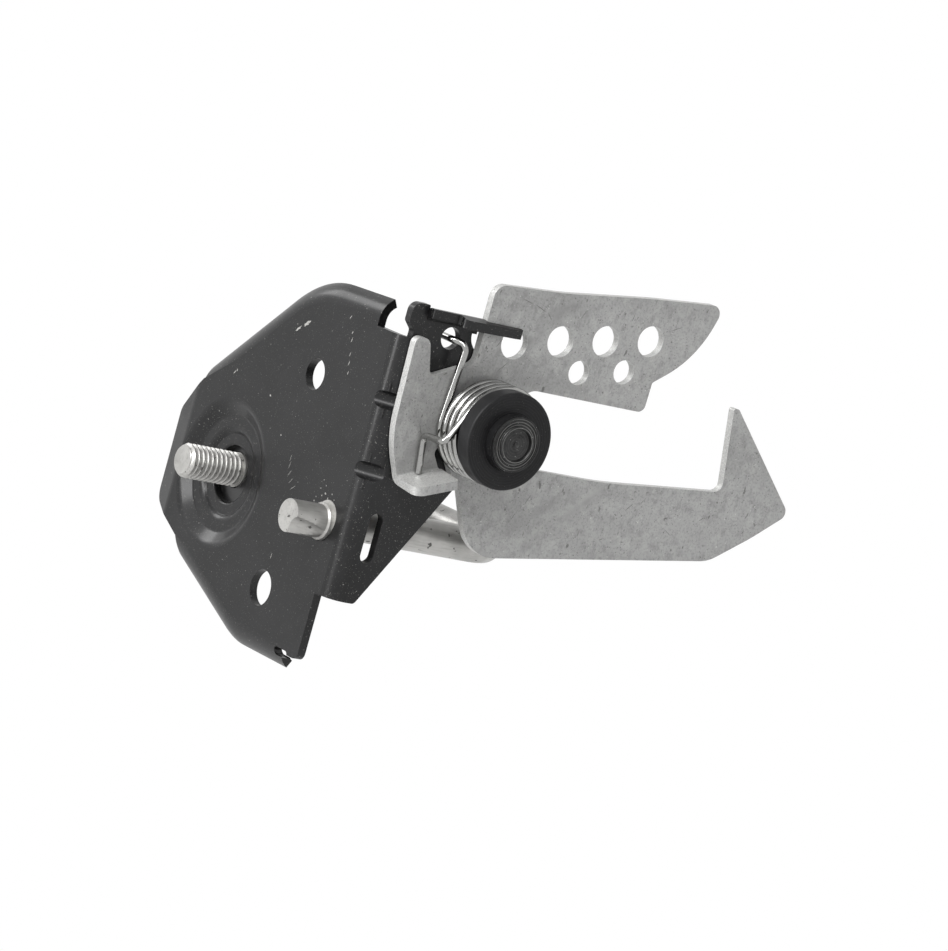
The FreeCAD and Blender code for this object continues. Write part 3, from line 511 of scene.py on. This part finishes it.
NODE_FINISHES: dict[str, Finish] = {
    "bracket": ELECTRO_COAT,
    "striker_washer": BLACK_STEEL,
    "striker_nut": ZINC_SHEET,
    "hook_plate": ZINC_SHEET,
    "pivot_bush": TURNED_BUSH,
    "pivot_rivet": RIVET_STEEL,
    "torsion_spring": SPRING_WIRE,
}


@dataclass
class Plates:
    """The CAD pieces that keep their solids and only get their finishes."""

    finishes: dict[str, Finish] = field(default_factory=lambda: dict(NODE_FINISHES))

    def dress(self, nodes: dict[str, bpy.types.Object]) -> None:
        """Give each CAD piece its finish.

        Args:
            nodes: The CAD pieces by name.
        """
        built: dict[str, bpy.types.Material] = {}
        for name, finish in self.finishes.items():
            if finish.name not in built:
                built[finish.name] = finish.build()
            for slot in nodes[name].material_slots:
                slot.material = built[finish.name]
            LOG.info("dressed %s in %s", name, finish.name)


@dataclass
class Striker:
    """Round bar bent to a U, with a threaded stud and a sheared, staked stub."""

    bar_r: float = 4.0
    width: float = 45.5
    reach: float = 47.9
    bend_r: float = 8.0
    stud_length: float = 10.2
    chamfer: float = 0.9
    thread_pitch: float = 1.25
    thread_root_r: float = 3.28
    thread_root_share: float = 0.12
    thread_flank_share: float = 0.70
    crest_relief: float = 0.02
    chamfer_slope: float = 0.85
    thread_end_x: float = 3.3
    neck_r: float = 3.3
    neck_end_x: float = 4.5
    stub_length: float = 9.3
    stub_r: float = 3.75
    stub_shift_y: float = 0.7
    stub_shift_z: float = -1.0
    stake_r: float = 4.2
    stake_length: float = 1.2
    collar_r: float = 5.4
    collar_start_x: float = 2.0
    collar_length: float = 1.6
    collar_chamfer: float = 0.4
    scoop_r: float = 3.4
    scoop_end_reach: float = 5.4
    scoop_root_reach: float = 7.3
    scoop_angle: float = 222.0
    around: int = 72
    sections_per_pitch: float = 14.0
    bend_steps: int = 20
    stub_steps: int = 40
    sharp_angle: float = 32.0

    def build(self) -> bpy.types.Object:
        """Make the striker and let it stand for its solid.

        Returns:
            The new object.
        """
        sections = self._sections()
        bm = bmesh.new()
        rings = []
        for x, y, heading, radius in sections:
            side = Vector((-math.sin(heading), math.cos(heading), 0.0))
            ring = []
            for i in range(self.around):
                turn = FULL_TURN * i / self.around
                r = radius(turn)
                point = Vector((x, y, 0.0)) + side * (r * math.cos(turn))
                point += Vector((0.0, 0.0, r * math.sin(turn)))
                ring.append(bm.verts.new(point * MM))
            rings.append(ring)
        for first, second in zip(rings, rings[1:]):
            for i in range(self.around):
                j = (i + 1) % self.around
                bm.faces.new((first[i], first[j], second[j], second[i]))
        for ring in (rings[0], rings[-1]):
            middle = bm.verts.new(sum((v.co for v in ring), Vector()) / len(ring))
            for i in range(self.around):
                bm.faces.new((ring[i], ring[(i + 1) % self.around], middle))
        bmesh.ops.recalc_face_normals(bm, faces=bm.faces[:])
        piece = new_piece("striker_bar", bm)
        piece.data.shade_smooth()
        piece.data.set_sharp_from_angle(angle=math.radians(self.sharp_angle))
        piece.data.materials.append(ZINC_BAR.build())
        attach(piece, "base")
        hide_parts("striker")
        return piece

    def _sections(self) -> list[tuple[float, float, float, Callable[[float], float]]]:
        """Cross-sections from the stud's end, round the U, to the stub's end.

        Returns:
            X and Y of each section in mm, its heading in radians, and its radius by the turn.
        """
        out: list[tuple[float, float, float, Callable[[float], float]]] = []
        x = -self.stud_length
        while x < self.thread_end_x:
            out.append((x, 0.0, 0.0, self._thread(x)))
            x += self.thread_pitch / self.sections_per_pitch
        neck = ((self.thread_end_x, self.thread_root_r), (self.thread_end_x, self.neck_r),
                (self.neck_end_x, self.neck_r), (self.neck_end_x, self.bar_r))
        for place, radius in neck:
            out.append((place, 0.0, 0.0, self._plain(radius)))
        plain = self._plain(self.bar_r)
        bend_x = self.reach - self.bend_r
        for bend_y, start in ((-self.bend_r, 0.0), (self.bend_r - self.width, 1.0)):
            for i in range(self.bend_steps + 1):
                turn = -0.5 * math.pi * (start + i / self.bend_steps)
                out.append((bend_x - self.bend_r * math.sin(turn),
                            bend_y + self.bend_r * math.cos(turn), turn, plain))
        back = -math.pi
        collar_end = self.collar_start_x + self.collar_length
        collar = ((collar_end, self.bar_r), (collar_end, self.collar_r - self.collar_chamfer),
                  (collar_end - self.collar_chamfer, self.collar_r),
                  (self.collar_start_x, self.collar_r), (self.collar_start_x, self.bar_r),
                  (0.0, self.bar_r))
        for place, radius in collar:
            out.append((place, -self.width, back, self._plain(radius)))
        stake = ((0.0, self.stake_r), (self.collar_chamfer - self.stake_length, self.stake_r),
                 (-self.stake_length, self.stake_r - self.collar_chamfer))
        for place, radius in stake:
            out.append((place, -self.width, back, self._shifted(radius)))
        stub = self._shifted(self.stub_r)
        for i in range(self.stub_steps + 1):
            share = i / self.stub_steps
            place = -self.stake_length - (self.stub_length - self.stake_length) * share
            out.append((place, -self.width, back, self._stub(place, stub)))
        return out

    def _plain(self, radius: float) -> Callable[[float], float]:
        """Round section of one radius."""
        return lambda turn: radius

    def _shifted(self, size: float) -> Callable[[float], float]:
        """Round section whose middle stands beside the bar's axis, as at the stub.

        Args:
            size: Radius of the section in mm.

        Returns:
            Distance from the bar's axis by the turn.
        """

        def radius(turn: float) -> float:
            """Distance from the bar's axis at one turn."""
            along = -self.stub_shift_y * math.cos(turn) + self.stub_shift_z * math.sin(turn)
            across = self.stub_shift_y * math.sin(turn) + self.stub_shift_z * math.cos(turn)
            return along + math.sqrt(size ** 2 - across ** 2)

        return radius

    def _thread(self, x: float) -> Callable[[float], float]:
        """Section of the right-handed thread at a place along the stud.

        Args:
            x: Place along the stud in mm.

        Returns:
            Radius by the turn.
        """
        start = x + self.stud_length
        limit = self.bar_r - self.crest_relief
        if start < self.chamfer:
            limit = self.bar_r - (self.chamfer - start) * self.chamfer_slope

        def radius(turn: float) -> float:
            """Radius of the thread at one turn."""
            share = (x / self.thread_pitch + turn / FULL_TURN) % 1.0
            flank = abs(2.0 * share - 1.0)
            wave = (flank - self.thread_root_share) / self.thread_flank_share
            depth = self.bar_r - self.thread_root_r
            return min(limit, self.thread_root_r + depth * min(1.0, max(0.0, wave)))

        return radius

    def _stub(self, x: float, base: Callable[[float], float]) -> Callable[[float], float]:
        """Section of the stub with the sheared hollow on one side.

        Args:
            x: Place along the stub in mm.
            base: Section of the stub without the hollow.

        Returns:
            Radius by the turn.
        """
        share = min(1.0, max(0.0, -x / self.stub_length))
        reach = self.scoop_root_reach + (self.scoop_end_reach - self.scoop_root_reach) * share
        # The heading is turned about, so the hollow's angle is mirrored across Z.
        angle = math.pi - math.radians(self.scoop_angle)

        def radius(turn: float) -> float:
            """Radius of the stub at one turn."""
            away = turn - angle
            across = reach * math.sin(away)
            if math.cos(away) <= 0.0 or abs(across) >= self.scoop_r:
                return base(turn)
            hollow = reach * math.cos(away) - math.sqrt(self.scoop_r ** 2 - across ** 2)
            return min(base(turn), hollow)

        return radius


class Side(Enum):
    """Flat side that carries a mark: its body, and the plane as an axis and a place in mm."""

    BRACKET_FACE = ("base", 0, 0.0)
    HOOK_FRONT = ("hook", 1, -57.7)


@dataclass
class Wear:
    """Chips or scratches lying on one flat side.

    Args:
        name: Name of the piece.
        side: Flat side that carries the marks.
        finish: Finish of the marks.
        slot: Material slot of the marks; not used.
        marks: Middle, length and width of each mark in mm and its angle in degrees.
        lift: Height of the marks above the side in mm.
        corners: Number of a mark's corners.
        raggedness: How far a corner stands off an oval's line, as a share of its distance.
        rag_waves: Waves of that raggedness in a turn.
        rag_shift: Shift of the waves from mark to mark.
    """

    name: str
    side: Side
    finish: Finish
    slot: str
    marks: tuple[tuple[float, float, float, float, float], ...]
    lift: float = 0.02
    corners: int = 13
    raggedness: float = 0.3
    rag_waves: float = 5.3
    rag_shift: float = 3.7

    def build(self) -> bpy.types.Object:
        """Make the marks as one thin piece.

        Returns:
            The new object.
        """
        bm = bmesh.new()
        for first, z, length, width, angle in self.marks:
            self._fleck(bm, first, z, length, width, math.radians(angle))
        piece = new_piece(self.name, bm)
        piece.data.materials.append(self.finish.build())
        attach(piece, self.side.value[0])
        return piece

    def _fleck(self, bm: bmesh.types.BMesh, first: float, z: float, length: float, width: float,
               angle: float) -> None:
        """One ragged fleck, flat on its side.

        Args:
            bm: Mesh that receives the fleck.
            first: Middle along Y on the bracket, or along X on the hook, in mm.
            z: Middle along Z in mm.
            length: Length in mm.
            width: Width in mm.
            angle: Angle from the first direction in radians.
        """
        _, axis, place = self.side.value
        points = []
        for i in range(self.corners):
            turn = FULL_TURN * i / self.corners
            wave = math.sin(self.rag_waves * turn + self.rag_shift * first + z)
            ragged = 1.0 + self.raggedness * wave
            along = 0.5 * length * math.cos(turn) * ragged
            across = 0.5 * width * math.sin(turn) * ragged
            u = first + along * math.cos(angle) - across * math.sin(angle)
            v = z + along * math.sin(angle) + across * math.cos(angle)
            spot = (place - self.lift, u, v) if axis == 0 else (u, place - self.lift, v)
            points.append(bm.verts.new(Vector(spot) * MM))
        bm.faces.new(points)


# Chips and a curved hairline through the coat, as Y, Z, length, width in mm and angle in degrees.
FACE_CHIPS = (
    # Grit round the root of the stub.
    (-43.1, 4.9, 0.6, 0.4, 20.0), (-44.4, 4.1, 0.5, 0.3, 80.0), (-41.9, 4.2, 0.4, 0.3, 50.0),
    (-40.8, 5.6, 0.3, 0.25, 10.0), (-42.6, 6.6, 0.35, 0.2, 120.0), (-45.6, 5.4, 0.4, 0.25, 60.0),
    (-39.9, 3.4, 0.3, 0.2, 40.0), (-41.2, 7.6, 0.25, 0.2, 15.0), (-46.9, 4.4, 0.3, 0.25, 95.0),
    # Two larger chips below the upper edge.
    (-15.9, 36.3, 2.2, 0.5, 139.0), (-18.75, 38.2, 2.6, 0.8, 142.0),
    # Flecks in a row beside the fold.
    (-34.4, 43.3, 1.0, 0.25, 118.0), (-36.6, 40.3, 0.8, 0.25, 112.0),
    (-37.1, 38.7, 1.1, 0.25, 105.0), (-37.9, 35.6, 0.9, 0.22, 104.0),
    (-38.4, 33.7, 1.2, 0.22, 104.0), (-39.0, 31.6, 0.8, 0.25, 104.0),
    # Chips beside the slanted rim.
    (4.0, 21.4, 1.3, 0.25, 128.0), (3.3, 22.0, 0.6, 0.3, 60.0),
    # A curved hairline, drawn in short steps.
    (-26.5, 8.9, 1.7, 0.1, 95.0), (-26.8, 7.2, 1.7, 0.1, 104.0), (-27.6, 5.6, 1.8, 0.1, 118.0),
    (-28.9, 4.2, 1.8, 0.1, 130.0), (-30.4, 3.0, 1.9, 0.1, 142.0),
    # Single flecks.
    (-29.3, -13.2, 1.4, 0.15, 96.0), (-20.4, 12.6, 0.5, 0.3, 30.0), (-12.2, 19.8, 0.6, 0.4, 20.0),
    (-38.9, -1.9, 0.5, 0.3, 40.0), (-39.6, 2.4, 0.4, 0.3, 70.0),
)

# Rubbed lines on the hook, as X, Z, length, width in mm and angle in degrees.
HOOK_SCRATCHES = (
    (28.5, 57.4, 3.2, 0.12, -12.0), (32.3, 56.5, 3.6, 0.14, -20.0), (35.2, 55.2, 2.0, 0.12, -42.0),
    (44.2, 57.2, 2.2, 0.12, 64.0), (57.8, 58.8, 2.0, 0.12, 80.0), (70.5, 58.4, 3.2, 0.12, 25.0),
    (23.9, 47.2, 2.4, 0.14, 60.0), (26.6, 42.2, 3.4, 0.12, 48.0), (9.6, 24.8, 2.6, 0.12, 116.0),
    (43.2, 14.4, 2.6, 0.12, 64.0), (40.4, 9.8, 1.8, 0.12, 66.0), (71.3, 16.8, 2.4, 0.14, 48.0),
    (74.6, 18.6, 1.8, 0.12, 52.0), (59.3, 8.6, 1.4, 0.12, 88.0), (92.4, 17.2, 1.6, 0.14, 40.0),
    (84.0, 12.6, 2.2, 0.10, 150.0), (12.0, 38.0, 1.0, 0.16, 30.0), (66.0, 8.4, 1.2, 0.14, 20.0),
)


@dataclass(frozen=True)
class Lamp:
    """Soft upright lamp.

    Args:
        name: Name of the lamp.
        place: Place of the lamp in metres.
        width: Width in metres.
        height: Height in metres.
        power: Power in watts.
    """

    name: str
    place: tuple[float, float, float]
    width: float
    height: float
    power: float

    def build(self, target: Vector) -> None:
        """Make the lamp and aim it.

        Args:
            target: Point that the lamp is aimed at, in metres.
        """
        data = bpy.data.lights.new(self.name, "AREA")
        data.shape = "RECTANGLE"
        data.size = self.width
        data.size_y = self.height
        data.energy = self.power
        lamp = bpy.data.objects.new(self.name, data)
        bpy.context.scene.collection.objects.link(lamp)
        lamp.location = self.place
        aim = target - Vector(self.place)
        lamp.rotation_euler = aim.to_track_quat("-Z", "Y").to_euler()


LAMPS = (
    Lamp("key_lamp", (-0.95, -0.35, 0.75), 0.45, 0.45, 9.0),
    Lamp("left_strip", (-1.15, 0.05, 0.28), 0.30, 0.80, 8.0),
    Lamp("left_panel", (-0.45, 1.05, 0.50), 0.35, 0.35, 2.0),
    Lamp("front_fill", (-0.75, -1.15, 0.95), 0.6, 0.6, 10.0),
)


@dataclass
class Studio:
    """Camera, soft lamps and a plain pale floor that turns up into a backdrop."""

    position_mm: tuple[float, float, float] = (-696.4, -1032.4, 155.7)
    right: tuple[float, float, float] = (0.7914, -0.5491, 0.2688)
    up: tuple[float, float, float] = (-0.1525, 0.2485, 0.9566)
    back: tuple[float, float, float] = (-0.5921, -0.7980, 0.1129)
    focal_mm: float = 210.38
    sensor_mm: float = 36.0
    shift_y: float = -0.0029
    nearest: float = 0.05
    farthest: float = 20.0
    floor_drop: float = 0.16
    floor_reach: float = 2.2
    floor_sides: int = 64
    sweep_radius: float = 0.8
    sweep_steps: int = 12
    wall_height: float = 4.0
    sky: float = 0.42
    lamps: tuple[Lamp, ...] = LAMPS
    lamp_target: tuple[float, float, float] = (0.03, -0.04, 0.01)

    def build(self) -> None:
        """Make the camera, lamps, floor and world."""
        scene = bpy.context.scene
        scene.view_settings.view_transform = "Standard"
        self._camera(scene)
        self._floor()
        self._world(scene)
        for lamp in self.lamps:
            lamp.build(Vector(self.lamp_target))

    def _camera(self, scene: bpy.types.Scene) -> None:
        """Camera at the photograph's place.

        Args:
            scene: Scene that uses the camera.
        """
        data = bpy.data.cameras.new("photo_camera")
        data.sensor_fit = "HORIZONTAL"
        data.sensor_width = self.sensor_mm
        data.lens = self.focal_mm
        data.shift_y = self.shift_y
        data.clip_start = self.nearest
        data.clip_end = self.farthest
        camera = bpy.data.objects.new("photo_camera", data)
        scene.collection.objects.link(camera)
        turn = Matrix((self.right, self.up, self.back)).transposed().to_quaternion()
        place = Matrix.Translation(Vector(self.position_mm) * MM)
        camera.matrix_world = place @ turn.to_matrix().to_4x4()
        scene.camera = camera

    def _floor(self) -> None:
        """Pale floor and backdrop as one swept sheet round the object."""
        low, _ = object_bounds()
        level = low[2] - self.floor_drop
        profile = []
        for i in range(self.sweep_steps + 1):
            turn = 0.5 * math.pi * i / self.sweep_steps
            profile.append((self.floor_reach + self.sweep_radius * math.sin(turn),
                            self.sweep_radius * (1.0 - math.cos(turn))))
        profile.append((self.floor_reach + self.sweep_radius, self.wall_height))
        bm = bmesh.new()
        middle = bm.verts.new((0.0, 0.0, level))
        turns = [FULL_TURN * i / self.floor_sides for i in range(self.floor_sides)]
        rings = []
        for distance, height in profile:
            rings.append([bm.verts.new((distance * math.cos(turn), distance * math.sin(turn),
                                        level + height)) for turn in turns])
        for i in range(self.floor_sides):
            bm.faces.new((middle, rings[0][i], rings[0][(i + 1) % self.floor_sides]))
        for first, second in zip(rings, rings[1:]):
            for i in range(self.floor_sides):
                j = (i + 1) % self.floor_sides
                bm.faces.new((first[i], second[i], second[j], first[j]))
        floor = new_piece("studio_floor", bm)
        floor.data.shade_smooth()
        floor.data.materials.append(self._paper())
        floor.visible_shadow = False
        floor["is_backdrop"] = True

    def _paper(self) -> bpy.types.Material:
        """Matt white paper that the camera and glossy pieces see as pure white.

        Returns:
            The new material.
        """
        material = bpy.data.materials.new("matt_paper_white")
        material.use_nodes = True
        tree = material.node_tree
        tree.nodes.clear()
        paper = add_node(tree, "ShaderNodeBsdfDiffuse", {"Color": linear("#f2f2f2")})
        glow = add_node(tree, "ShaderNodeEmission", {"Color": linear("#ffffff"), "Strength": 1.0})
        path = add_node(tree, "ShaderNodeLightPath")
        seen = add_node(tree, "ShaderNodeMath", {"operation": "MAXIMUM"}, {
            0: path.outputs["Is Camera Ray"], 1: path.outputs["Is Glossy Ray"]})
        mix = add_node(tree, "ShaderNodeMixShader", {}, {
            0: seen.outputs[0], 1: paper.outputs[0], 2: glow.outputs[0]})
        add_node(tree, "ShaderNodeOutputMaterial", {}, {"Surface": mix.outputs[0]})
        return material

    def _world(self, scene: bpy.types.Scene) -> None:
        """Even pale light from all round.

        Args:
            scene: Scene that gets the world.
        """
        world = bpy.data.worlds.new("studio_world")
        world.use_nodes = True
        tree = world.node_tree
        tree.nodes.clear()
        sky = add_node(tree, "ShaderNodeBackground", {
            "Color": linear("#ffffff"), "Strength": self.sky})
        add_node(tree, "ShaderNodeOutputWorld", {}, {"Surface": sky.outputs[0]})
        scene.world = world


def main() -> None:
    """Dress the CAD pieces, build striker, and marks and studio."""
    logging.basicConfig(level=logging.INFO, format="%(name)s %(message)s")
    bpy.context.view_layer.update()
    Plates().dress(frame["nodes"])
    striker = Striker().build()
    LOG.info("built %s", striker.name)
    wears = (
        Wear("face_chips", Side.BRACKET_FACE, BARE_CHIP, "coated_steel", FACE_CHIPS),
        Wear("hook_scratches", Side.HOOK_FRONT, DARK_SCRATCH, "zinc_steel", HOOK_SCRATCHES),
    )
    for wear in wears:
        LOG.info("built %s", wear.build().name)
    Studio().build()


if __name__ == "__main__":
    main()
